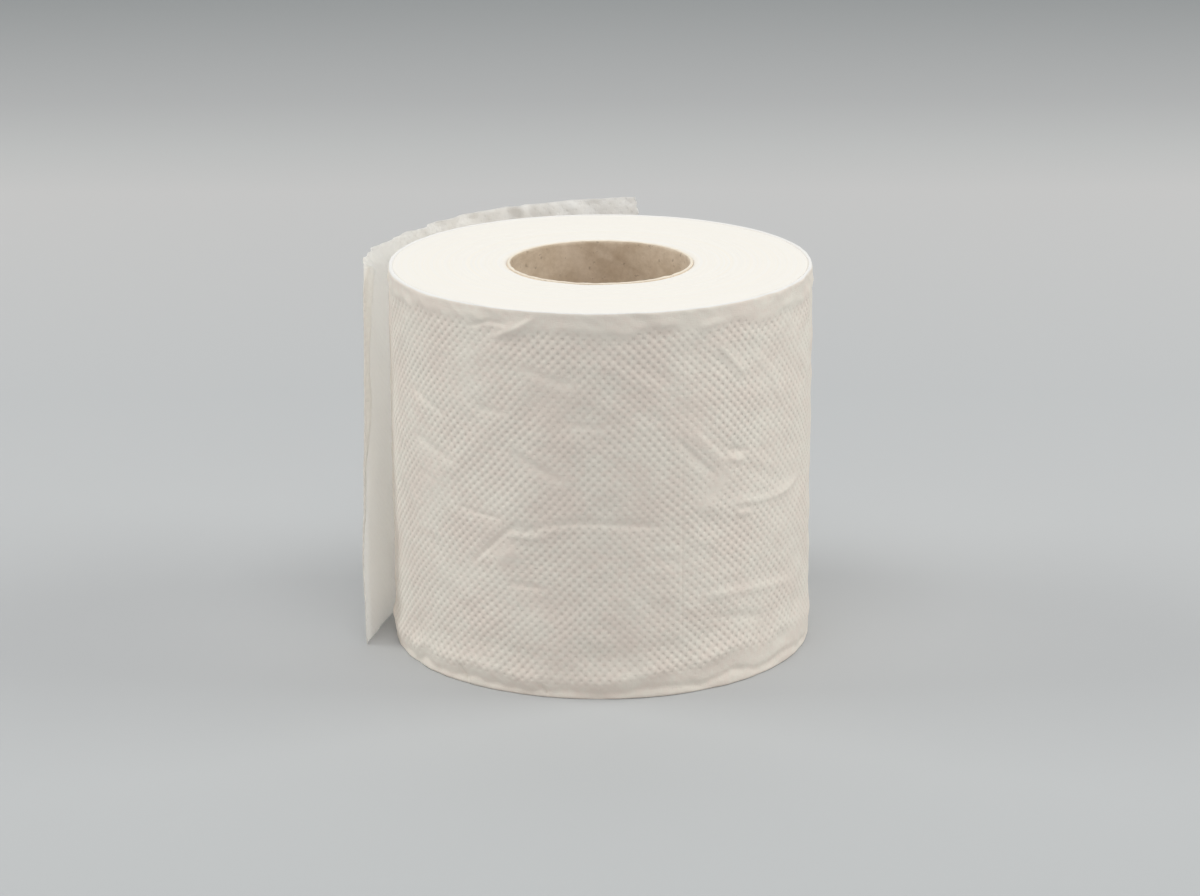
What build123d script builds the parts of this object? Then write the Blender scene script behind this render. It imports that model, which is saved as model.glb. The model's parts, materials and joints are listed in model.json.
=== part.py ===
from build123d import *
from math import cos, radians, sin
import os

# Toilet paper roll standing on end, with its last sheet half torn off.
#
# Millimetres, +Z up. The origin is the core's axis at the height of the surface that
# the roll stands on. Angles are measured about that axis, counterclockwise from +X as
# seen from above, and the web is wound counterclockwise outwards.

# Driving dimensions of the roll
ROLL_DIAMETER = 106.0
WEB_WIDTH = 96.0
CORE_BORE = 44.6
CORE_WALL = 0.8

# The last sheet, 116 mm from the perforation that still holds its foot to its free end
PAPER_THICKNESS = 0.4
PERFORATION_ANGLE = 72.0
TORN_TOP_ANGLE = 82.5
FREE_FOOT_ANGLE = 193.0
FREE_TOP_ANGLE = 187.0

# How far the sheet stands off the roll, with places along it as shares of its length
JOINED_DEPTH = 0.9
JOINED_HEIGHT = 26.0
JOINED_SHARE = 0.14
SNUG_GAP = 0.7
TOP_GAP_FREE = 4.8
TOP_GAP_TORN = 20.4
TOP_GAP_LEVELS_OFF = 0.6
TOP_GAP_POWER = 1.15
FOOT_FLARE = 7.6
FLARE_START_ANGLE = 158.0

SECTION_POINTS = 9

ROLL_RADIUS = ROLL_DIAMETER / 2
CORE_RADIUS = CORE_BORE / 2 + CORE_WALL


def blend(t):
    """Rises smoothly from 0 to 1 as t does, and stays level outside."""
    t = min(max(t, 0.0), 1.0)
    return t * t * (3 - 2 * t)


def polar(angle, radius):
    return (radius * cos(radians(angle)), radius * sin(radians(angle)))


def foot_gap(along):
    """Gap under the sheet near the surface it stands on: joined, snug, then flared."""
    angle = PERFORATION_ANGLE + along * (FREE_FOOT_ANGLE - PERFORATION_ANGLE)
    flare = max(angle - FLARE_START_ANGLE, 0.0) / (FREE_FOOT_ANGLE - FLARE_START_ANGLE)
    joined = -JOINED_DEPTH + (SNUG_GAP + JOINED_DEPTH) * blend(along / JOINED_SHARE)
    return joined + FOOT_FLARE * flare**2


def top_gap(along):
    """Gap under the sheet at its top edge: widest at the torn perforation."""
    opening = max(1 - along / TOP_GAP_LEVELS_OFF, 0.0) ** TOP_GAP_POWER
    return TOP_GAP_FREE + (TOP_GAP_TORN - TOP_GAP_FREE) * opening


def lean(z):
    """Share of the top edge's stand-off that the sheet has at height z."""
    return max(z - JOINED_HEIGHT, 0.0) / (WEB_WIDTH - JOINED_HEIGHT)


def sheet_point(along, z, depth):
    """A point of the sheet, along it from perforation (0) to free end (1)."""
    share = z / WEB_WIDTH
    start = PERFORATION_ANGLE + (TORN_TOP_ANGLE - PERFORATION_ANGLE) * lean(z)
    end = FREE_FOOT_ANGLE + (FREE_TOP_ANGLE - FREE_FOOT_ANGLE) * share
    gap = foot_gap(along) * (1 - lean(z)) + top_gap(along) * lean(z)
    return polar(start + along * (end - start), ROLL_RADIUS + gap + depth)


def sheet_section(z):
    """The sheet's thin outline at height z."""
    steps = [i / (SECTION_POINTS - 1) for i in range(SECTION_POINTS)]
    inner = [sheet_point(along, z, 0.0) for along in steps]
    outer = [sheet_point(along, z, PAPER_THICKNESS) for along in steps]
    with BuildSketch(Plane.XY.offset(z)) as section:
        with BuildLine():
            Spline(*inner)
            Line(inner[-1], outer[-1])
            Spline(*reversed(outer))
            Line(outer[0], inner[0])
        make_face()
    return section.sketch


def make_last_sheet():
    """The loose sheet: upright and snug at its foot, leaning out towards its top."""
    levels = [0.0, JOINED_HEIGHT, (JOINED_HEIGHT + WEB_WIDTH) / 2, WEB_WIDTH]
    return loft([sheet_section(z) for z in levels])


def make_paper_roll():
    """All turns of the web as one ring, with the last sheet still joined at its foot."""
    standing = (Align.CENTER, Align.CENTER, Align.MIN)
    turns = Cylinder(ROLL_RADIUS, WEB_WIDTH, align=standing)
    turns -= Cylinder(CORE_RADIUS, WEB_WIDTH, align=standing)
    return turns + make_last_sheet()


def make_cardboard_core():
    """The wound board tube that the web starts on, as long as the web is wide."""
    standing = (Align.CENTER, Align.CENTER, Align.MIN)
    tube = Cylinder(CORE_RADIUS, WEB_WIDTH, align=standing)
    return tube - Cylinder(CORE_BORE / 2, WEB_WIDTH, align=standing)


os.makedirs("parts", exist_ok=True)
export_step(make_cardboard_core(), "parts/cardboard_core.step")
export_step(make_paper_roll(), "parts/paper_roll.step")
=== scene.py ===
import json
import math
from collections import namedtuple

import bmesh
import bpy
import numpy as np
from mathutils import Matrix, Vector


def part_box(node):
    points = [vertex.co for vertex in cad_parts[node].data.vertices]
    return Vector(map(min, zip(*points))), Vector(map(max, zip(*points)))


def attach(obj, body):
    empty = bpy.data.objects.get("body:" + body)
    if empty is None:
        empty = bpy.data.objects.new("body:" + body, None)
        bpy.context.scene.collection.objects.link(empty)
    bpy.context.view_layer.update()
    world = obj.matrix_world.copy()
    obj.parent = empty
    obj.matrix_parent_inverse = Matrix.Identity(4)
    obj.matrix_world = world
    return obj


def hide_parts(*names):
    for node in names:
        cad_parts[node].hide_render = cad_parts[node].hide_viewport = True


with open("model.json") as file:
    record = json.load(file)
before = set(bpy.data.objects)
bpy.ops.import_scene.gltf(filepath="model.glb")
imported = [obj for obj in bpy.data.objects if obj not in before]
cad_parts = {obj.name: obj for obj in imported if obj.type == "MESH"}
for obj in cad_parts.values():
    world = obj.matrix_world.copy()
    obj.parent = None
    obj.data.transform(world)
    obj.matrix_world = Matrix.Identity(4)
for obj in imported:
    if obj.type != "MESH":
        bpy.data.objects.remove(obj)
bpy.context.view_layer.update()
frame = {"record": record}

MM = 0.001
TURN = 2 * math.pi

# ---------------------------------------------------------------- sizes from the frame

roll_low, roll_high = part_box("paper_roll")
_, core_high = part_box("cardboard_core")
mounts = {mount["name"]: mount for mount in frame["record"]["mounts"]}

ROLL_RADIUS = roll_high.x
WEB_WIDTH = roll_high.z - roll_low.z
CORE_RADIUS = core_high.x
BORE_RADIUS = mounts["core_bore"]["dims"]["r_mm"] * MM

# The web is wound counterclockwise outwards, in degrees about +Z from +X.
PERFORATION_ANGLE = 72.0
FRONT_PERFORATION_ANGLE = -68.4
HIDDEN_PERFORATION_ANGLE = -195.0
TISSUE = 0.28 * MM
LOOSE_THICKNESS = 0.2 * MM

# How far the outer turn's face lies inside the roll's true cylinder, which leaves room for
# its creases, and how far inside the ring of inner turns stops
FACE_DEPTH = 0.36 * MM
RING_DEPTH = 1.55 * MM

# The last sheet, from the perforation that still holds its foot to its free end
SHEET_LENGTH = 116 * MM
TORN_TOP_ANGLE = 82.5
FREE_FOOT_ANGLE = 193.0
FREE_TOP_ANGLE = 187.0
JOINED_HEIGHT = 26 * MM
SNUG_GAP = 2.2 * MM
TOP_GAP_FREE = 6.0 * MM
TOP_GAP_TORN = 20.4 * MM
TOP_GAP_LEVELS_OFF = 0.6
TOP_GAP_POWER = 1.15
FOOT_FLARE = 5.9 * MM
FLARE_START_ANGLE = 158.0

# Embossed dots stand on a 45 degree lattice, which wanders a little.
DOT_PITCH = 2.39 * MM
DOT_DEPTH = 0.17 * MM
LATTICE_WANDER = 0.14 * MM

# The web's own map counts in decimetres, so that its patterns get handy scales.
MAP_UNIT = 0.1


# ---------------------------------------------------------------- camera

CAMERA_PLACE = (0.8 * MM, -788.6 * MM, 286.2 * MM)
CAMERA_DOWN = math.radians(16.84)
CAMERA_ROLL = math.radians(0.248)
CAMERA_LENS = 98.0


def make_camera():
    """A long lens a little above the roll, looking slightly down on its top."""
    data = bpy.data.cameras.new("camera")
    data.sensor_width = 36
    data.lens = CAMERA_LENS
    data.clip_end = 20
    camera = bpy.data.objects.new("camera", data)
    camera.location = CAMERA_PLACE
    camera.rotation_euler = (TURN / 4 - CAMERA_DOWN, CAMERA_ROLL, 0)
    bpy.context.scene.collection.objects.link(camera)
    bpy.context.scene.camera = camera


make_camera()


# ---------------------------------------------------------------- shapes in numbers


def smooth_step(low, high, value):
    """0 at low and 1 at high, smoothly; low may be the larger."""
    t = np.clip((value - low) / (high - low), 0, 1)
    return t * t * (3 - 2 * t)


def bell(distance, width):
    """1 at no distance, falling off smoothly on both sides over about a width."""
    return np.exp(-((distance / width) ** 2))


def soft_noise(across, up, size, seed):
    """Smooth noise, mostly between -1 and 1, whose bumps are about one size across."""
    random = np.random.default_rng(seed)
    total = np.zeros(np.broadcast(across, up).shape)
    waves = 14
    for _ in range(waves):
        heading, phase = random.uniform(0, TURN, 2)
        pace = random.uniform(0.5, 1.5) * math.pi / size
        total += np.sin((across * np.cos(heading) + up * np.sin(heading)) * pace + phase)
    return total / math.sqrt(waves)


def web_place(angle):
    """Where an angle on the roll's outside lies along the web, in metres."""
    return ROLL_RADIUS * np.radians(angle)


def uneven_lattice(across, up):
    """Places on the web, shifted a little, as soft tissue is never embossed quite evenly."""
    shifted = across + LATTICE_WANDER * soft_noise(across, up, 9 * MM, 1)
    return shifted, up + LATTICE_WANDER * soft_noise(across, up, 9 * MM, 2)


def dots(across, up):
    """The embossing, 0 on its cushions and -1 in its pits."""
    across, up = uneven_lattice(across, up)
    lattice = np.cos(TURN * across / DOT_PITCH) * np.cos(TURN * up / DOT_PITCH)
    pits = smooth_step(0.1, 1.0, lattice)
    return -0.35 * (0.5 + 0.5 * lattice) - 0.65 * pits


def crumple(across, up, size, seed):
    """Soft creases between flatter places, as in handled tissue: 0 to 1."""
    return 1 - np.sqrt(soft_noise(across, up, size, seed) ** 2 + 0.02)


# A path in degrees and millimetres up, its widths in millimetres to the left and right of
# the path, its rise in millimetres, and how much it flattens the dots, from 0 to 1
Crease = namedtuple("Crease", "path left right rise ironed")


def crease_field(crease, across, up):
    """The relief of one crease, and how much it irons out the dots beside it."""
    points = [(web_place(angle), height * MM) for angle, height in crease.path]
    lengths = [math.dist(a, b) for a, b in zip(points, points[1:])]
    nearest = np.full(across.shape, np.inf)
    side = np.zeros(across.shape)
    travelled = np.zeros(across.shape)
    start = 0.0
    for (ax, ay), (bx, by), length in zip(points, points[1:], lengths):
        dx, dy = (bx - ax) / length, (by - ay) / length
        t = np.clip((across - ax) * dx + (up - ay) * dy, 0, length)
        off_x, off_y = across - ax - t * dx, up - ay - t * dy
        distance = np.hypot(off_x, off_y)
        closer = distance < nearest
        nearest = np.where(closer, distance, nearest)
        side = np.where(closer, np.sign(dx * off_y - dy * off_x), side)
        travelled = np.where(closer, start + t, travelled)
        start += length
    share = travelled / start
    fade = smooth_step(0, 0.22, share) * smooth_step(1, 0.78, share)
    width = np.where(side > 0, crease.left, crease.right) * MM
    bump = bell(nearest, width) * fade
    iron = bell(nearest, 1.5 * width + 0.4 * MM) * smooth_step(0, 0.1, fade)
    return crease.rise * MM * bump, crease.ironed * iron


def crease_all(creases, across, up):
    """The relief of all these creases together, and how much they iron out the dots."""
    relief = np.zeros(across.shape)
    ironed = np.zeros(across.shape)
    for crease in creases:
        rise, iron = crease_field(crease, across, up)
        relief += rise
        ironed = np.maximum(ironed, iron)
    return relief, ironed


LONG_CREASE = [(-115, 40.6), (-104, 43.4), (-97, 44.5), (-90, 44.4), (-79, 43.5), (-70, 42.3)]
SIDE_CREASE = [(-20, 47.0), (-27, 45.4), (-36, 44.6), (-46, 45.4), (-55, 46.6)]

CREASES = [
    # the long crease across the front, and the folds that meet at its left end
    Crease(LONG_CREASE, 1.3, 0.7, -0.36, 0.4),
    Crease([(-116, 40.4), (-109, 40.4), (-103, 40.6)], 0.7, 0.7, 0.26, 0.4),
    Crease([(-110, 44.5), (-116, 40.4), (-121, 36.2), (-128, 30.5)], 0.7, 1.1, -0.34, 0.5),
    Crease([(-112, 36.5), (-119, 33.5)], 1.8, 1.8, 0.26, 0.8),
    Crease([(-132, 45.4), (-123.4, 44.5), (-116, 44.0)], 0.6, 0.6, -0.24, 0.3),
    Crease([(-116, 28.2), (-104, 27.6)], 0.8, 0.8, -0.28, 0.4),
    # dents above it
    Crease([(-112, 82.5), (-102, 79.5), (-96, 78.0)], 1.2, 1.2, -0.28, 0.8),
    Crease([(-115, 62.0), (-106, 57.5), (-98, 54.0)], 1.1, 1.1, -0.28, 0.7),
    Crease([(-98, 69.0), (-88, 67.6)], 0.9, 0.9, -0.22, 0.6),
    Crease([(-124, 71.0), (-114, 70.4)], 1.0, 1.0, -0.22, 0.6),
    # the pucker on the right, with the crease that runs into it from the side
    Crease([(-71, 65.5), (-64, 58.5), (-58, 53.5)], 1.0, 1.0, -0.30, 0.5),
    Crease([(-66, 66.5), (-60, 60.5), (-55, 56.0)], 1.0, 1.0, 0.24, 0.5),
    Crease([(-55.5, 60.2), (-48, 58.6)], 0.9, 0.9, -0.40, 0.6),
    Crease([(-55.0, 57.8), (-49, 56.4)], 0.9, 0.9, 0.36, 0.8),
    Crease([(-54, 55.5), (-58.8, 50.6), (-64, 46.0)], 1.4, 1.4, -0.18, 0.9),
    Crease(SIDE_CREASE, 0.8, 1.2, 0.34, 0.6),
    Crease([(-52, 43.4), (-46, 42.8)], 0.8, 0.8, 0.34, 0.7),
    # shallow folds above the foot on the right
    Crease([(-67, 24.2), (-56, 23.9), (-45, 22.9), (-24, 20.3)], 1.2, 1.2, 0.30, 0.4),
    Crease([(-62, 18.6), (-50, 17.0), (-40, 14.5)], 1.3, 1.3, -0.26, 0.4),
    # folds on the left
    Crease([(-152, 71.4), (-142, 69.0), (-134, 66.5)], 0.9, 0.9, -0.28, 0.5),
    Crease([(-151, 60.5), (-141, 58.0), (-130, 55.5)], 1.1, 1.1, -0.30, 0.5),
    Crease([(-147, 51.5), (-138, 49.5)], 0.9, 0.9, -0.22, 0.4),
    Crease([(-160, 50.0), (-150, 44.0), (-146, 36.0)], 1.6, 1.6, 0.24, 0.3),
    Crease([(-48, 84.0), (-38, 76.0), (-33, 66.0)], 1.4, 1.4, 0.24, 0.3),
    Crease([(-58, 86.5), (-53, 81.5), (-49, 77.5)], 1.0, 1.0, 0.28, 0.6),
    # the slanting fold under the top rim, and the notches in the foot
    Crease([(-120, 88.5), (-113, 91.0), (-106, 95.0)], 0.6, 0.9, 0.40, 0.8),
    Crease([(-127, 90.5), (-120, 92.5), (-114, 92.0)], 0.6, 0.6, -0.34, 0.8),
    Crease([(-131.5, 5.0), (-129.6, 2.6), (-128.4, 0.4)], 0.5, 0.5, -0.60, 0.9),
    Crease([(-107, 3.4), (-105.2, 1.8), (-104.4, 0.3)], 0.4, 0.4, -0.50, 0.9),
    # the perforation, and folds that only the back shows
    Crease([(-68.1, 76.0), (-68.4, 9.0)], 0.3, 0.3, -0.10, 0.3),
    Crease([(20, 84.0), (34, 79.0), (50, 80.0)], 1.0, 1.3, 0.30, 0.4),
    Crease([(5, 33.0), (22, 38.0), (40, 36.0), (58, 41.0)], 1.2, 1.2, -0.32, 0.4),
    Crease([(64, 62.0), (52, 55.0), (45, 46.0)], 1.0, 1.6, 0.32, 0.4),
]

# How high the outer turn's top fold, foot dip and foot ridge run, in degrees and millimetres
TOP_FOLD = [
    (-200, 92.6), (-134, 93.2), (-124, 92.8), (-115, 91.6), (-108, 92.4), (-98, 91.9), (-91, 92.4),
    (-84, 90.9), (-78, 92.2), (-70, 92.6), (-60, 92.2), (-48, 91.8), (-38, 91.6), (-28, 91.2),
    (-16, 91.6), (10, 92.8), (40, 91.8), (72, 92.6),
]
FOOT_DIP = [
    (-200, 1.8), (-150, 1.5), (-128, 1.7), (-116, 1.5), (-86, 1.6), (-72, 2.0), (-60, 2.6), (-50, 2.8),
    (-40, 2.6), (-26, 2.0), (0, 1.8), (30, 2.0), (72, 1.8),
]
FOOT_RIDGE = [
    (-200, 5.0), (-150, 5.4), (-128, 5.6), (-114, 5.2), (-105, 4.6), (-90, 4.4), (-78, 5.6), (-65, 8.2),
    (-49, 9.6), (-26, 9.0), (0, 6.4), (30, 5.4), (72, 5.2),
]


def run(path, angle):
    """The height of a run round the roll at an angle, in metres."""
    angles, heights = zip(*path)
    return np.interp(angle, angles, heights) * MM


# The furthest that the outer turn's relief goes, in or out
DEEPEST = 0.8 * MM


def top_fold(across, angle, height, wobble):
    """The fold under the top edge: its relief, and how much it irons out the dots."""
    over_fold = height - run(TOP_FOLD, angle) - wobble
    rise = np.clip(0.16 + 0.12 * soft_noise(across, 0 * height, 6 * MM, 4), 0, 0.4) * MM
    relief = rise * bell(over_fold, 1.1 * MM)
    relief -= 0.10 * MM * bell(over_fold + 2.6 * MM, 1.6 * MM)
    return relief, 0.94 * smooth_step(-2.4 * MM, -0.4 * MM, over_fold)


def foot_folds(across, angle, height, wobble):
    """The foot's dip, the puffed ridge over it and the hollow over that, and their ironing."""
    dip = run(FOOT_DIP, angle) + wobble
    ridge = run(FOOT_RIDGE, angle) + wobble
    puffed = (0.52 + 0.20 * soft_noise(across, 0 * height, 8 * MM, 14)) * MM
    puffed *= 1 - 0.55 * smooth_step(-62, -40, angle)
    relief = puffed * bell(height - ridge, 1.8 * MM)
    relief -= 0.5 * puffed * bell(height - ridge - 6 * MM, 2.2 * MM)
    relief -= 0.42 * MM * bell(height - dip, 1.0 * MM)
    return relief, 0.9 * smooth_step(ridge, ridge - 2.5 * MM, height)


def softness(across, height):
    """Slow swellings, gentle folds and small slanting dents all over."""
    relief = 0.14 * MM * soft_noise(across, height, 15 * MM, 5)
    relief += 0.06 * MM * soft_noise(across, height, 5 * MM, 6)
    relief += 0.15 * MM * crumple(0.7 * across, 1.5 * height, 13 * MM, 8)
    relief += 0.09 * MM * crumple(across + 0.6 * height, 1.1 * height, 8 * MM, 9)
    slanting = soft_noise(0.32 * across - 0.14 * height, 0.41 * across + 0.91 * height, 2.3 * MM, 15)
    in_places = smooth_step(-0.2, 1.0, soft_noise(across, height, 11 * MM, 16))
    return relief + 0.07 * MM * slanting * in_places


def outer_relief(angle, height):
    """How far the outer turn stands off its face in metres, and how deeply it is embossed."""
    across = web_place(angle)
    wobble = 0.6 * MM * soft_noise(across, 0 * height, 9 * MM, 3)
    wobble += 0.3 * MM * soft_noise(across, 0 * height, 3.5 * MM, 10)
    creased, creases_iron = crease_all(CREASES, across, height)
    folded, fold_irons = top_fold(across, angle, height, wobble)
    puffed, foot_irons = foot_folds(across, angle, height, wobble)
    near_edge = smooth_step(9 * MM, 2 * MM, np.minimum(height, WEB_WIDTH - height))
    edges = 0.11 * MM * near_edge * crumple(across + 1.3 * height, 0.8 * height, 5 * MM, 13)

    ironed = np.maximum(np.maximum(creases_iron, fold_irons), foot_irons)
    patchy = np.clip(0.88 + 0.24 * soft_noise(across, height, 12 * MM, 7), 0.35, 1.1)
    strength = patchy * (1 - np.clip(ironed, 0, 1))
    relief = creased + folded + puffed + edges + softness(across, height)
    relief += DOT_DEPTH * strength * dots(across, height)
    return np.clip(relief, -DEEPEST, DEEPEST), strength


# ---------------------------------------------------------------- meshes


def deselect():
    bpy.ops.object.select_all(action="DESELECT")


def add_grid(name, columns, rows):
    """A flat grid of unit size, and its vertices' shares across and up."""
    deselect()
    bpy.ops.mesh.primitive_grid_add(x_subdivisions=columns, y_subdivisions=rows, size=1)
    piece = bpy.context.active_object
    piece.name = piece.data.name = name
    flat = np.empty(len(piece.data.vertices) * 3)
    piece.data.vertices.foreach_get("co", flat)
    flat = flat.reshape(-1, 3) + 0.5
    return piece, flat[:, 0], flat[:, 1]


def place(piece, points):
    """Moves the piece's vertices to points, smooth shaded."""
    piece.data.vertices.foreach_set("co", np.ascontiguousarray(points, float).ravel())
    piece.data.polygons.foreach_set("use_smooth", [True] * len(piece.data.polygons))
    piece.data.update()


def lay_web_map(piece, across, up, strength):
    """Gives each point its place on the web's map, and how deeply it is embossed."""
    across, up = uneven_lattice(across, up)
    embossed = piece.data.attributes.new("embossed", "FLOAT", "POINT")
    embossed.data.foreach_set("value", strength)
    uv_map = piece.data.uv_layers.active
    uv_map.name = "web"
    corners = np.empty(len(piece.data.loops), int)
    piece.data.loops.foreach_get("vertex_index", corners)
    places = np.stack([across, up], axis=1)[corners] / MAP_UNIT
    uv_map.data.foreach_set("uv", places.ravel())


def wrap(angle, radius, height):
    """Points at these angles, in degrees, radii and heights."""
    turned = np.radians(angle)
    return np.stack([radius * np.cos(turned), radius * np.sin(turned), height], axis=1)


# The outer turn's section: how far in from its face, and how far from its nearer edge
RIM = [(1.20, 0.30), (0.80, 0.07), (0.40, 0.0), (0.14, 0.12), (0.03, 0.38)]


def make_turn(name, start_angle, end_angle, step):
    """One sheet of the outer turn: a thin closed shell wrapped on the roll, its rims rounded."""
    columns = round(web_place(end_angle - start_angle) / step)
    body_rows = round(WEB_WIDTH / step)
    rims = np.array(RIM) * MM
    between = np.linspace(rims[-1, 1], WEB_WIDTH - rims[-1, 1], body_rows + 1)[1:-1]
    insets = np.concatenate([rims[:, 0], 0 * between, rims[::-1, 0], rims[:1, 0]])
    heights = np.concatenate([rims[:, 1], between, WEB_WIDTH - rims[::-1, 1], rims[:1, 1]])
    piece, across, up = add_grid(name, columns, len(heights) - 1)
    row = np.round(up * (len(heights) - 1)).astype(int)
    angle = start_angle + across * (end_angle - start_angle)
    height = heights[row]
    inset = insets[row]
    on_face = smooth_step(0.5 * MM, 0.0, inset)
    spiral = TISSUE * (PERFORATION_ANGLE - angle) / 360
    relief, strength = outer_relief(angle, height)
    radius = ROLL_RADIUS - FACE_DEPTH - spiral - inset + relief * on_face
    place(piece, wrap(angle, radius, height))
    lay_web_map(piece, web_place(angle), height, strength * on_face)
    close_shell(piece)
    return piece


def close_shell(piece):
    """Joins the first and last rows of a wrapped grid, and fills its two ends flat."""
    deselect()
    piece.select_set(True)
    bpy.context.view_layer.objects.active = piece
    bpy.ops.object.mode_set(mode="EDIT")
    bpy.ops.mesh.select_all(action="SELECT")
    bpy.ops.mesh.remove_doubles(threshold=0.001 * MM)
    bpy.ops.mesh.fill_holes(sides=0)
    bpy.ops.mesh.normals_make_consistent(inside=False)
    bpy.ops.object.mode_set(mode="OBJECT")
    mesh = piece.data
    for end in [face for face in mesh.polygons if len(face.vertices) > 4]:
        for corner in end.loop_indices:
            mesh.edges[mesh.loops[corner].edge_index].use_edge_sharp = True


def spin_section(name, inner, outer, low, high, cuts_across, cuts_up, turns):
    """A ring: an upright section cut into strips, spun once about the axis and closed."""
    deselect()
    bpy.ops.mesh.primitive_grid_add(x_subdivisions=cuts_across, y_subdivisions=cuts_up, size=1)
    ring = bpy.context.active_object
    ring.name = ring.data.name = name
    bpy.ops.object.mode_set(mode="EDIT")
    bpy.ops.mesh.select_all(action="SELECT")
    bpy.ops.mesh.delete(type="ONLY_FACE")
    bpy.ops.object.mode_set(mode="OBJECT")
    mesh = ring.data
    keep_border(mesh)
    for vertex in mesh.vertices:
        x, z = vertex.co.x + 0.5, vertex.co.y + 0.5
        vertex.co = (inner + x * (outer - inner), 0, low + z * (high - low))
    bpy.ops.object.mode_set(mode="EDIT")
    bpy.ops.mesh.select_all(action="SELECT")
    bpy.ops.mesh.spin(steps=turns, angle=TURN, center=(0, 0, 0), axis=(0, 0, 1))
    bpy.ops.mesh.select_all(action="SELECT")
    bpy.ops.mesh.remove_doubles(threshold=0.01 * MM)
    bpy.ops.mesh.normals_make_consistent(inside=False)
    bpy.ops.object.mode_set(mode="OBJECT")
    return ring


def keep_border(mesh):
    """Leaves only the section's outline of a grid whose faces are gone."""
    work = bmesh.new()
    work.from_mesh(mesh)
    inside = [v for v in work.verts if abs(v.co.x) < 0.499 and abs(v.co.y) < 0.499]
    bmesh.ops.delete(work, geom=inside, context="VERTS")
    work.to_mesh(mesh)
    work.free()


def read_points(piece):
    """The places of a piece's vertices."""
    points = np.empty(len(piece.data.vertices) * 3)
    piece.data.vertices.foreach_get("co", points)
    return points.reshape(-1, 3)


def make_wound_turns():
    """All inner turns as one ring, with the uneven edges of the turns on its two ends."""
    outer = ROLL_RADIUS - RING_DEPTH
    ring = spin_section("wound_turns", CORE_RADIUS, outer, 0.0, WEB_WIDTH, 84, 3, 288)
    points = read_points(ring)
    radius = np.hypot(points[:, 0], points[:, 1])
    angle = np.arctan2(points[:, 1], points[:, 0])
    wound = radius + 0.25 * MM * angle / TURN
    uneven = 0.055 * soft_noise(wound, 0 * wound, 0.7 * MM, 11)
    uneven += 0.05 * soft_noise(points[:, 0], points[:, 1], 9 * MM, 12)
    worn = 0.42 * bell(radius - CORE_RADIUS, 0.55 * MM)
    sunk = np.clip(0.12 + uneven + worn, 0, None) * MM
    top = points[:, 2] > 0.75 * WEB_WIDTH
    bottom = points[:, 2] < 0.25 * WEB_WIDTH
    points[:, 2] += np.where(bottom, sunk, 0) - np.where(top, sunk, 0)
    place(ring, points)
    return ring


# The core's seam starts at its top rim and falls this far in one turn.
SEAM_TOP_ANGLE = 100.0
SEAM_LEAD = 84 * MM


def seam_relief(angle, height):
    """The groove of the core's seam and the lap beside it, in metres outwards."""
    lead = SEAM_LEAD * np.mod(angle - SEAM_TOP_ANGLE, 360) / 360
    off_seam = np.mod(height - WEB_WIDTH - lead + SEAM_LEAD / 2, SEAM_LEAD) - SEAM_LEAD / 2
    groove = 0.16 * MM * bell(off_seam, 0.7 * MM)
    lap = 0.10 * MM * smooth_step(0, 0.9 * MM, off_seam) * smooth_step(7 * MM, 1 * MM, off_seam)
    return groove - lap


def make_core():
    """The board tube: plies wound in a helix, with an open seam inside and soft rims."""
    ring = spin_section("core_tube", BORE_RADIUS, CORE_RADIUS, 0.0, WEB_WIDTH, 3, 96, 192)
    points = read_points(ring)
    radius = np.hypot(points[:, 0], points[:, 1])
    angle = np.degrees(np.arctan2(points[:, 1], points[:, 0]))
    height = points[:, 2].copy()
    through = (radius - BORE_RADIUS) / (CORE_RADIUS - BORE_RADIUS)
    inner = smooth_step(0.6, 0.0, through)
    soft = 0.07 * MM * soft_noise(web_place(angle), height, 6 * MM, 21)
    radius = radius + inner * (seam_relief(angle, height) + soft)

    at_rim = np.minimum(height, WEB_WIDTH - height) < 0.2 * MM
    rounded = 0.22 * (2 * through - 1) ** 2
    rough = 0.05 * soft_noise(web_place(angle), 0 * height, 3 * MM, 22)
    rim = (rough - rounded - 0.05) * MM
    height = height + np.where(at_rim, np.where(height > WEB_WIDTH / 2, rim, -rim), 0)
    place(ring, wrap(angle, radius, np.clip(height, 0, WEB_WIDTH)))
    return ring


# ---------------------------------------------------------------- the loose last sheet


def foot_gap(share):
    """Gap under the sheet at its foot: none at the perforation, snug, then flared."""
    angle = PERFORATION_ANGLE + share * (FREE_FOOT_ANGLE - PERFORATION_ANGLE)
    flare = np.maximum(angle - FLARE_START_ANGLE, 0) / (FREE_FOOT_ANGLE - FLARE_START_ANGLE)
    return SNUG_GAP * smooth_step(0, 0.14, share) + FOOT_FLARE * flare**3


def top_gap(share):
    """Gap under the sheet at its top edge: widest at the torn perforation."""
    opening = np.maximum(1 - share / TOP_GAP_LEVELS_OFF, 0) ** TOP_GAP_POWER
    return TOP_GAP_FREE + (TOP_GAP_TORN - TOP_GAP_FREE) * opening


def sheet_base(share, height):
    """The sheet's smooth middle surface, from its perforation (0) to its free end (1)."""
    lean = np.maximum(height - JOINED_HEIGHT, 0) / (WEB_WIDTH - JOINED_HEIGHT)
    start = PERFORATION_ANGLE + (TORN_TOP_ANGLE - PERFORATION_ANGLE) * lean
    end = FREE_FOOT_ANGLE + (FREE_TOP_ANGLE - FREE_FOOT_ANGLE) * height / WEB_WIDTH
    gap = foot_gap(share) * (1 - lean) + top_gap(share) * lean
    return wrap(start + share * (end - start), ROLL_RADIUS + gap, height)


# How far the free end's strip curls inwards, and the strip's width by height in millimetres
CURL_TURN = math.radians(115)
CURL_WIDTH = [(0, 1.5), (20, 1.1), (48, 1.2), (56, 2.6), (62, 3.0), (75, 2.0), (85, 3.0), (96, 5.0)]

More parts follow.
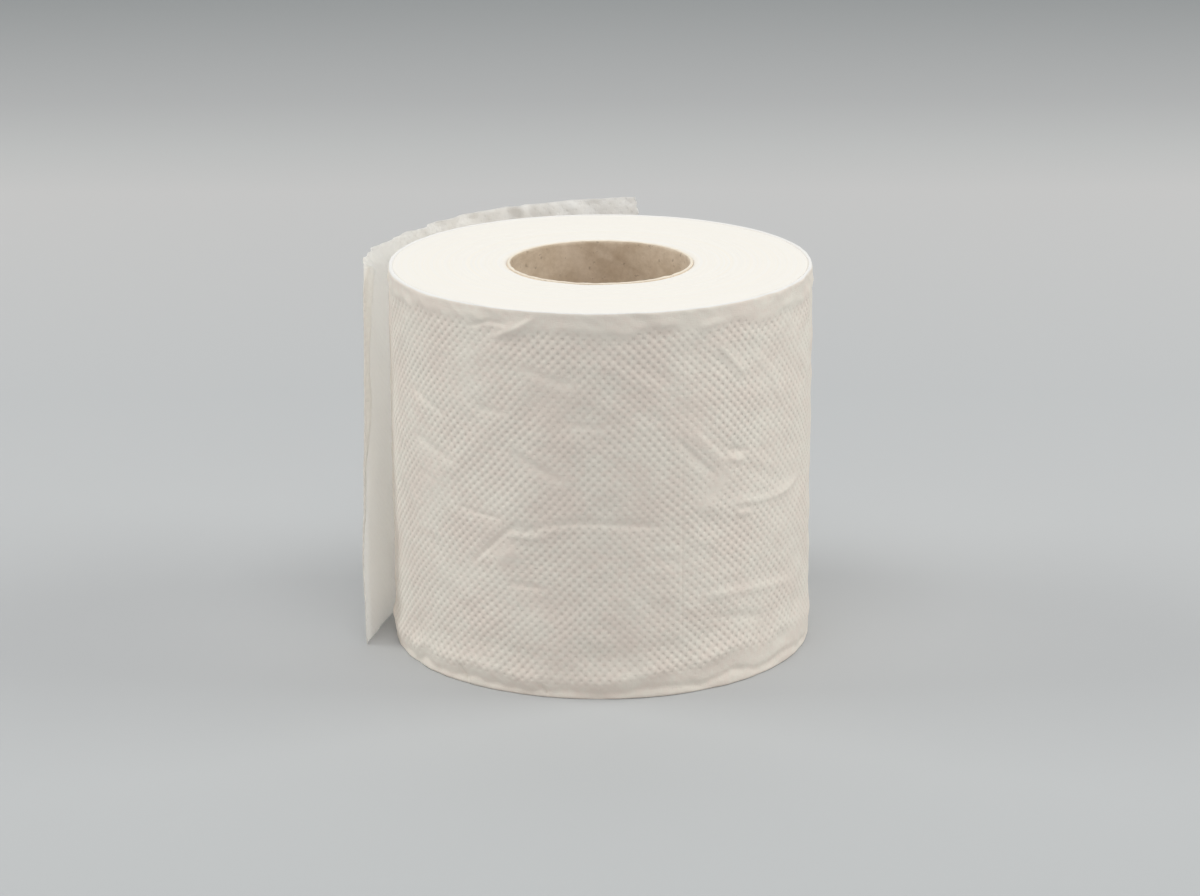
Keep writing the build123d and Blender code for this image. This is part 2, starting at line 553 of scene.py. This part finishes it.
# The loose sheet's creases, in degrees round the roll back from its perforation
SHEET_CREASES = [
    Crease([(-104, 94.5), (-98, 91.5), (-92, 91.0)], 0.8, 0.8, 0.5, 0.6),
    Crease([(-106, 88.0), (-97, 86.0)], 0.8, 0.8, -0.3, 0.4),
    Crease([(-90, 95.5), (-88, 88.0), (-86, 78.0)], 1.5, 1.5, -0.5, 0.4),
    Crease([(-20, 90.0), (-35, 92.0), (-60, 90.0)], 1.8, 1.8, 0.5, 0.4),
    Crease([(-15, 70.0), (-38, 60.0), (-60, 40.0)], 2.6, 2.6, -0.6, 0.3),
    Crease([(-5, 34.0), (-22, 44.0), (-34, 62.0)], 1.5, 1.5, 0.5, 0.3),
]

SHEET_STEP = 0.5 * MM
TOOTH_PITCH = 2.3 * MM
TOOTH_LENGTH = 0.16 * MM


def sheet_frame(share, height):
    """Points of the sheet's middle surface, with its outward and its lengthwise directions."""
    near = 1e-3
    rise = near * WEB_WIDTH
    along = sheet_base(share + near, height) - sheet_base(share - near, height)
    up = sheet_base(share, height + rise) - sheet_base(share, height - rise)
    normal = np.cross(along, up)
    normal /= np.linalg.norm(normal, axis=1, keepdims=True)
    along /= np.linalg.norm(along, axis=1, keepdims=True)
    return sheet_base(share, height), normal, along


def free_end_curl(to_free, height):
    """How far the strip at the free end turns in, and how far that draws it back."""
    heights, widths = zip(*CURL_WIDTH)
    width = np.interp(height / MM, heights, widths) * MM
    full_turn = CURL_TURN * (0.3 + 0.7 * smooth_step(0, 0.55, height / WEB_WIDTH))
    turned = full_turn * np.clip(1 - to_free / width, 0, 1)
    radius = width / full_turn
    return radius * (1 - np.cos(turned)), radius * (turned - np.sin(turned))


def sheet_relief(across, height, near_top):
    """How far the loose sheet stands off its base, and how deeply it is embossed."""
    relief, ironed = crease_all(SHEET_CREASES, -across, height)
    lifted = 0.5 * np.maximum(height - JOINED_HEIGHT, 0) / WEB_WIDTH
    loose = smooth_step(0.0, 0.12, across / SHEET_LENGTH + lifted)
    relief += 0.35 * MM * loose * soft_noise(across, height, 22 * MM, 31)
    relief += 0.10 * MM * loose * soft_noise(across, height, 5 * MM, 32)
    relief += 0.45 * MM * near_top * soft_noise(across, 0 * height, 5 * MM, 33)
    relief += 0.30 * MM * near_top * soft_noise(across, height, 2.4 * MM, 34)
    patchy = np.clip(0.7 + 0.25 * soft_noise(across, height, 12 * MM, 35), 0.2, 1)
    strength = 0.7 * patchy * (1 - ironed)
    relief += DOT_DEPTH * strength * dots(web_place(PERFORATION_ANGLE) + across, height)
    return relief, strength


def ragged_ends(across, height):
    """How far the torn perforations' teeth and the free end's waver shift points lengthwise."""
    to_free = SHEET_LENGTH - across
    teeth = TOOTH_LENGTH * np.sign(np.sin(TURN * height / TOOTH_PITCH))
    teeth += 0.10 * MM * soft_noise(height, 0 * height, 1.2 * MM, 36)
    above_joint = smooth_step(0, 3 * MM, height - JOINED_HEIGHT)
    torn = np.where(across < 0.5 * SHEET_STEP, above_joint, 0)
    free = np.where(to_free < 0.5 * SHEET_STEP, 0.5, 0)
    waver = soft_noise(height, 0 * height, 5 * MM, 38) * smooth_step(0.35, 0.9, height / WEB_WIDTH)
    return teeth * (free - torn) + 0.5 * MM * waver * smooth_step(12 * MM, 0, to_free)


def make_last_sheet():
    """The loose sheet: joined at its foot, torn free above, curled and dog-eared."""
    columns = round(SHEET_LENGTH / SHEET_STEP)
    piece, share, up = add_grid("last_sheet", columns, round(WEB_WIDTH / SHEET_STEP))
    height = up * WEB_WIDTH
    across = share * SHEET_LENGTH
    near_top = smooth_step(6 * MM, 0, WEB_WIDTH - height)
    base, normal, along = sheet_frame(share, height)
    relief, strength = sheet_relief(across, height, near_top)
    turned_in, drawn_back = free_end_curl(SHEET_LENGTH - across, height)
    lengthwise = ragged_ends(across, height) - drawn_back
    points = base + normal * (relief - turned_in)[:, None] + along * lengthwise[:, None]
    sag = 0.25 * MM * soft_noise(across, 0 * height, 6 * MM, 37) * near_top
    points[:, 2] = np.clip(points[:, 2] + sag, LOOSE_THICKNESS, WEB_WIDTH)
    place(piece, points)
    lay_web_map(piece, web_place(PERFORATION_ANGLE) + across, height, strength)

    thickness = piece.modifiers.new("thickness", "SOLIDIFY")
    thickness.thickness = LOOSE_THICKNESS
    thickness.offset = 0
    bpy.ops.object.modifier_apply(modifier=thickness.name)
    return piece


# ---------------------------------------------------------------- shader maths


class Value:
    """A socket of a material's tree that takes part in ordinary arithmetic."""

    def __init__(self, shader, socket):
        self.shader = shader
        self.socket = socket

    def math(self, operation, *others):
        numbers = dict(enumerate([self, *others]))
        return self.shader.node("Math", {"operation": operation}, numbers)

    def __add__(self, other):
        return self.math("ADD", other)

    def __radd__(self, other):
        return self.math("ADD", other)

    def __sub__(self, other):
        return self.math("SUBTRACT", other)

    def __rsub__(self, other):
        return self.shader.node("Math", {"operation": "SUBTRACT"}, {0: other, 1: self})

    def __mul__(self, other):
        return self.math("MULTIPLY", other)

    def __rmul__(self, other):
        return self.math("MULTIPLY", other)

    def __truediv__(self, other):
        return self.math("DIVIDE", other)

    def beside(self, output):
        """Another output of the same node."""
        return Value(self.shader, self.socket.node.outputs[output])

    def clamp(self, low, high):
        return self.math("MAXIMUM", low).math("MINIMUM", high)

    def step(self, low, high):
        """0 below low and 1 above high, smoothly."""
        ends = {"Value": self, "From Min": low, "From Max": high}
        return self.shader.node("MapRange", {"interpolation_type": "SMOOTHSTEP"}, ends)


class Shader:
    """The node tree of a new material or world, built one expression at a time."""

    def __init__(self, owner, output="OutputMaterial"):
        owner.use_nodes = True
        self.owner = owner
        self.tree = owner.node_tree
        self.tree.nodes.clear()
        self.output = self.tree.nodes.new("ShaderNode" + output)

    def node(self, kind, settings=None, inputs=None, output=0):
        """Any node: its settings first, then the values or links of its sockets."""
        made = self.tree.nodes.new("ShaderNode" + kind)
        for key, value in (settings or {}).items():
            if key == "stops":
                lay_stops(made.color_ramp, value)
            else:
                setattr(made, key, value)
        for key, value in (inputs or {}).items():
            if isinstance(value, Value):
                self.tree.links.new(value.socket, made.inputs[key])
            else:
                made.inputs[key].default_value = value
        return Value(self, made.outputs[output])

    def mix(self, factor, first, second):
        """Between two colours."""
        colours = {0: factor, 6: pad(first), 7: pad(second)}
        return self.node("Mix", {"data_type": "RGBA"}, colours, output=2)

    def object_place(self):
        """Where a point lies in the object's own frame, in metres."""
        return self.node("TexCoord", None, None, output=3)

    def parted(self, vector):
        """The three numbers of a vector."""
        x = self.node("SeparateXYZ", None, {0: vector})
        return x, x.beside(1), x.beside(2)

    def stretched(self, vector, scale, rotation=(0, 0, 0)):
        """The same places with each direction scaled, after a turn."""
        return self.node("Mapping", None, {"Vector": vector, "Rotation": rotation, "Scale": scale})

    def noise(self, vector, scale, detail=3.0, roughness=0.5):
        inputs = {"Vector": vector, "Scale": scale, "Detail": detail, "Roughness": roughness}
        return self.node("TexNoise", None, inputs)

    def bump(self, height, distance, strength=1.0, normal=None):
        inputs = {"Height": height, "Distance": distance, "Strength": strength}
        if normal is not None:
            inputs["Normal"] = normal
        return self.node("Bump", None, inputs)

    def matt(self, colour, normal, roughness, specular, **others):
        """A surface that shines little."""
        inputs = {"Base Color": colour, "Roughness": roughness, "Specular IOR Level": specular}
        if normal is not None:
            inputs["Normal"] = normal
        return self.node("BsdfPrincipled", None, inputs | others)

    def surface(self, closure):
        self.tree.links.new(closure.socket, self.output.inputs["Surface"])
        return self.owner


def new_material(name):
    return Shader(bpy.data.materials.new(name))


def pad(colour):
    return colour if isinstance(colour, Value) else (*colour, 1)


def lay_stops(band, stops):
    """Gives a colour ramp its (place, colour) stops, lowest first."""
    for spare in list(band.elements)[1:]:
        band.elements.remove(spare)
    band.elements[0].position = stops[0][0]
    band.elements[0].color = pad(stops[0][1])
    for position, colour in stops[1:]:
        band.elements.new(position).color = pad(colour)


# ---------------------------------------------------------------- finishes

TISSUE_WHITE = (0.89, 0.84, 0.755)
TISSUE_WARM = (0.87, 0.78, 0.70)
CUT_EDGE_WHITE = (0.865, 0.85, 0.83)
LOOSE_WHITE = (0.995, 0.985, 0.965)
LOOSE_WARM = (0.99, 0.970, 0.940)
# How dark the painted shade in the embossed pits is, as a share of the warm tone
PAINTED_PIT_SHADE = 0.80

BOARD_DARK = (0.63, 0.51, 0.38)
BOARD_LIGHT = (0.82, 0.70, 0.565)
BOARD_FLECK = (0.34, 0.25, 0.18)
BOARD_RIM = (0.86, 0.78, 0.66)

# How much of its light the loose sheet lets through at its foot and at its top, the share
# of that at its torn perforation, and what its very end adds
LET_THROUGH_FOOT = 0.55
LET_THROUGH_TOP = 0.80
LET_THROUGH_TORN = 0.4
LET_THROUGH_END = 0.2


def paper(shader, white, warm):
    """Soft embossed tissue, with painted shade in its pits, fibres and cloudy places; and its bumps."""
    web = shader.node("UVMap", {"uv_map": "web"})
    across, up, _ = shader.parted(web)
    embossed = shader.node("Attribute", {"attribute_name": "embossed"}, None, output=2)
    waves = TURN * MAP_UNIT / DOT_PITCH
    lattice = (across * waves).math("COSINE") * (up * waves).math("COSINE")
    pit = lattice.step(0.35, 0.95) * embossed
    pit_depth = pit * shader.noise(web, 110.0, 2.0).step(0.12, 0.60)

    cloudy = shader.noise(web, 9.0, 3.0) * 0.6 + shader.noise(web, 60.0, 2.0) * 0.4
    colour = shader.mix(cloudy.step(0.35, 0.65), white, warm)
    # painted shade: the pits are darkened in colour, standing in for the shade in their hollows
    colour = shader.mix(pit_depth * 0.30, colour, [PAINTED_PIT_SHADE * channel for channel in warm])
    height = shader.parted(shader.object_place())[2]
    cut = height.step(WEB_WIDTH - 0.30 * MM, WEB_WIDTH - 0.10 * MM)
    colour = shader.mix(cut, colour, CUT_EDGE_WHITE)

    fibres = shader.noise(shader.stretched(web, (1.0, 0.55, 1.0)), 260.0, 4.0, 0.65)
    crepe = shader.noise(shader.stretched(web, (0.16, 1.0, 1.0)), 330.0, 2.0)
    pressed = shader.bump(0 - pit_depth * 0.6 - lattice * embossed * 0.2, 0.5 * MM, 0.5)
    fuzz = shader.bump(fibres * 0.55 + crepe * 0.45, 0.16 * MM, 0.75, pressed)
    sheen = {"Sheen Weight": 0.08, "Sheen Roughness": 0.6}
    return shader.matt(colour, fuzz, 0.92, 0.15, **sheen), fuzz


def web_tissue():
    """The outer turn's tissue, with the whole roll behind it."""
    shader = new_material("tissue_web")
    return shader.surface(paper(shader, TISSUE_WHITE, TISSUE_WARM)[0])


def loose_tissue():
    """The loose sheet's tissue, with light through it, most at its top and its free end."""
    shader = new_material("tissue_loose")
    surface, fuzz = paper(shader, LOOSE_WHITE, LOOSE_WARM)
    glow = shader.node("BsdfTranslucent", None, {"Color": pad(LOOSE_WHITE), "Normal": fuzz})
    across = shader.parted(shader.node("UVMap", {"uv_map": "web"}))[0]
    height = shader.parted(shader.object_place())[2]
    end = (web_place(PERFORATION_ANGLE) + SHEET_LENGTH) / MAP_UNIT
    up_the_web = (LET_THROUGH_TOP - LET_THROUGH_FOOT) / WEB_WIDTH
    by_height = height * up_the_web + LET_THROUGH_FOOT
    free_half = across.step(end - 80 * MM / MAP_UNIT, end - 25 * MM / MAP_UNIT)
    by_length = free_half * (1 - LET_THROUGH_TORN) + LET_THROUGH_TORN
    very_end = across.step(end - 6 * MM / MAP_UNIT, end - 3 * MM / MAP_UNIT)
    let_through = by_height * by_length + very_end * LET_THROUGH_END
    return shader.surface(shader.node("MixShader", None, {0: let_through, 1: surface, 2: glow}))


def cut_edges():
    """The turns' cut edges: nearly white, with fine rings close together."""
    shader = new_material("tissue_cut_edges")
    place_in = shader.object_place()
    x, y, _ = shader.parted(place_in)
    ring = shader.node("CombineXYZ", None, {0: (x * x + y * y).math("SQRT")})
    turns = shader.noise(ring, 5200.0, 1.0)
    coarse = shader.noise(ring, 900.0, 2.0)
    fluff = shader.noise(place_in, 1800.0, 3.0)
    colour = shader.mix((coarse * 0.5 + turns * 0.5).step(0.25, 0.75), TISSUE_WHITE, CUT_EDGE_WHITE)
    fuzz = shader.bump(turns * 0.5 + fluff * 0.5, 0.06 * MM, 0.35)
    return shader.surface(shader.matt(colour, fuzz, 0.95, 0.1))


def board():
    """Recycled board: grey-brown, mottled with fibres and dark flecks, paler at its cut rims."""
    shader = new_material("core_board")
    place_in = shader.object_place()
    clouds = shader.noise(place_in, 130.0, 4.0, 0.6)
    drawn_out = shader.stretched(place_in, (1, 0.35, 1), (0.7, 0.6, 0.4))
    fibres = shader.noise(drawn_out, 900.0, 4.0, 0.7)
    flecks = shader.noise(place_in, 760.0, 2.0).step(0.64, 0.72)
    mottle = (clouds * 0.65 + fibres * 0.35).step(0.32, 0.68)
    colour = shader.mix(mottle, BOARD_DARK, BOARD_LIGHT)
    colour = shader.mix(flecks * 0.45, colour, BOARD_FLECK)
    height = shader.parted(place_in)[2]
    top_rim = (height - (WEB_WIDTH - 0.35 * MM)) * (1 / (0.2 * MM))
    foot_rim = (0.35 * MM - height) * (1 / (0.2 * MM))
    colour = shader.mix(top_rim.math("MAXIMUM", foot_rim).clamp(0, 1), colour, BOARD_RIM)
    rough = shader.bump(fibres * 0.6 + clouds * 0.4, 0.12 * MM, 0.4)
    return shader.surface(shader.matt(colour, rough, 0.82, 0.25))


# ---------------------------------------------------------------- pieces

outer_sheets = [
    make_turn("second_sheet", FRONT_PERFORATION_ANGLE, PERFORATION_ANGLE, DOT_PITCH / 6),
    make_turn("third_sheet", HIDDEN_PERFORATION_ANGLE, FRONT_PERFORATION_ANGLE, DOT_PITCH / 6),
    make_turn("fourth_sheet", PERFORATION_ANGLE - 360, HIDDEN_PERFORATION_ANGLE, DOT_PITCH / 4),
]
outer_material = web_tissue()
for piece in outer_sheets:
    piece.data.materials.append(outer_material)

wound_turns = make_wound_turns()
wound_turns.data.materials.append(cut_edges())

last_sheet = make_last_sheet()
last_sheet.data.materials.append(loose_tissue())

for piece in [*outer_sheets, wound_turns, last_sheet]:
    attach(piece, "root")
    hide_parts("paper_roll")

core_tube = make_core()
core_tube.data.materials.append(board())
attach(core_tube, "root")
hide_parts("cardboard_core")


# ---------------------------------------------------------------- floor and light

BACKDROP_GREY = (0.34, 0.36, 0.37)

# How far from the axis the floor starts to turn into the backdrop, and has become it
FADE_START = 1.3
FADE_END = 2.4

# The floor's grey, with painted light: a painted brighter band behind the roll and painted falloff
# towards the front and the back, by its place behind the line y = FLOOR_NEAR, as a share of FLOOR_DEPTH
FLOOR_NEAR = -0.2
FLOOR_DEPTH = 1.4
FLOOR_PAINTED_LIGHT_GREYS = [
    (0.0, (0.505, 0.52, 0.53)),
    (0.14, (0.53, 0.54, 0.55)),
    (0.30, (0.53, 0.54, 0.55)),
    (0.515, (0.61, 0.605, 0.605)),
    (0.574, (0.57, 0.575, 0.575)),
    (0.656, (0.505, 0.51, 0.515)),
    (0.865, (0.42, 0.435, 0.44)),
    (1.0, (0.39, 0.41, 0.42)),
]


def make_floor():
    """A pale grey sweep with painted light: a painted brighter band behind the roll, painted falloff
    darkening it further behind, and far off it turns into the backdrop.
    """
    deselect()
    bpy.ops.mesh.primitive_plane_add(size=16, location=(0, 0, 0))
    floor = bpy.context.active_object
    floor.name = floor.data.name = "floor"
    shader = new_material("floor_grey")
    x, y, _ = shader.parted(shader.object_place())
    behind = (y - FLOOR_NEAR) / FLOOR_DEPTH
    # painted light: this ramp stands in for the lamps' falloff across an evenly grey floor
    colour = shader.node("ValToRGB", {"stops": FLOOR_PAINTED_LIGHT_GREYS}, {0: behind.clamp(0, 1)})
    near = shader.matt(colour, None, 0.75, 0.2)
    backdrop = shader.node("Emission", None, {"Color": pad(BACKDROP_GREY)})
    far_off = (x * x + y * y).math("SQRT").step(FADE_START, FADE_END)
    by_camera = shader.node("LightPath")
    fading = shader.node("MixShader", None, {0: far_off * by_camera, 1: near, 2: backdrop})
    floor.data.materials.append(shader.surface(fading))


def add_soft_light(name, location, aim, size, power, colour):
    """A rectangular soft box: its place, what it points at, its size, watts and colour."""
    data = bpy.data.lights.new(name, "AREA")
    data.shape = "RECTANGLE"
    data.size, data.size_y = size
    data.energy = power
    data.color = colour
    lamp = bpy.data.objects.new(name, data)
    lamp.location = location
    direction = Vector(aim) - Vector(location)
    lamp.rotation_euler = direction.to_track_quat("-Z", "Y").to_euler()
    bpy.context.scene.collection.objects.link(lamp)


def make_world():
    """Even pale light from all round, and a pale grey for the camera to see."""
    world = bpy.data.worlds.new("studio")
    bpy.context.scene.world = world
    shader = Shader(world, "OutputWorld")
    daylight = {"Color": pad((0.97, 0.985, 1.0)), "Strength": 0.32}
    ambient = shader.node("Background", None, daylight)
    seen = shader.node("Background", None, {"Color": pad(BACKDROP_GREY)})
    by_camera = shader.node("LightPath")
    shader.surface(shader.node("MixShader", None, {0: by_camera, 1: ambient, 2: seen}))


MID_ROLL = (0, 0, 0.05)
SIDE_WHITE = (0.99, 1.0, 0.96)
FRONT_WARM = (1.0, 0.91, 0.84)

make_floor()
make_world()
add_soft_light("overhead", (0.0, -0.5, 1.45), (0, 0, 0), (1.2, 0.8), 8.0, (1.0, 1.0, 0.99))
add_soft_light("left_box", (-1.2, 0.15, 0.85), MID_ROLL, (0.7, 0.7), 6.8, SIDE_WHITE)
add_soft_light("right_box", (1.2, 0.1, 0.85), MID_ROLL, (0.7, 0.7), 7.6, SIDE_WHITE)
add_soft_light("front_fill", (0.0, -1.6, 0.35), MID_ROLL, (1.4, 0.5), 2.8, FRONT_WARM)
add_soft_light("back_light", (0.0, 1.1, 1.3), MID_ROLL, (1.4, 0.8), 3.2, (1.0, 1.0, 1.0))
bpy.context.scene.view_settings.view_transform = "Standard"
